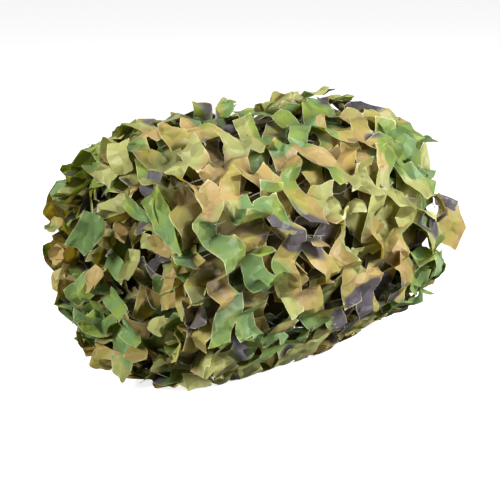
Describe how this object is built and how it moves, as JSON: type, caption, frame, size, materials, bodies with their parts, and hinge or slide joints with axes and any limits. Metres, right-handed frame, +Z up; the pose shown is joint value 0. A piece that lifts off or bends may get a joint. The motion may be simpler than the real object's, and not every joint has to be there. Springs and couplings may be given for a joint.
{
  "type": "rolled camouflage net",
  "caption": "Leaf-cut camouflage net rolled up into a fat loose roll, lying on its side with one wound end open and a loose corner at the other.",
  "frame": {"origin": "centre of the bounding box's bottom, on the surface that the roll lies on", "axes": "+X along the roll, from its open wound end to the end with the loose corner, +Y to the back, +Z up"},
  "size_m": [0.3906, 0.3056, 0.2771],
  "materials": {
    "camouflage_cloth": "satin coated, four-colour woodland blobs",
    "support_cord": "matte thin knotted cord"
  },
  "bodies": {
    "root": {"net_roll": "camouflage_cloth"}
  },
  "joints": []
}
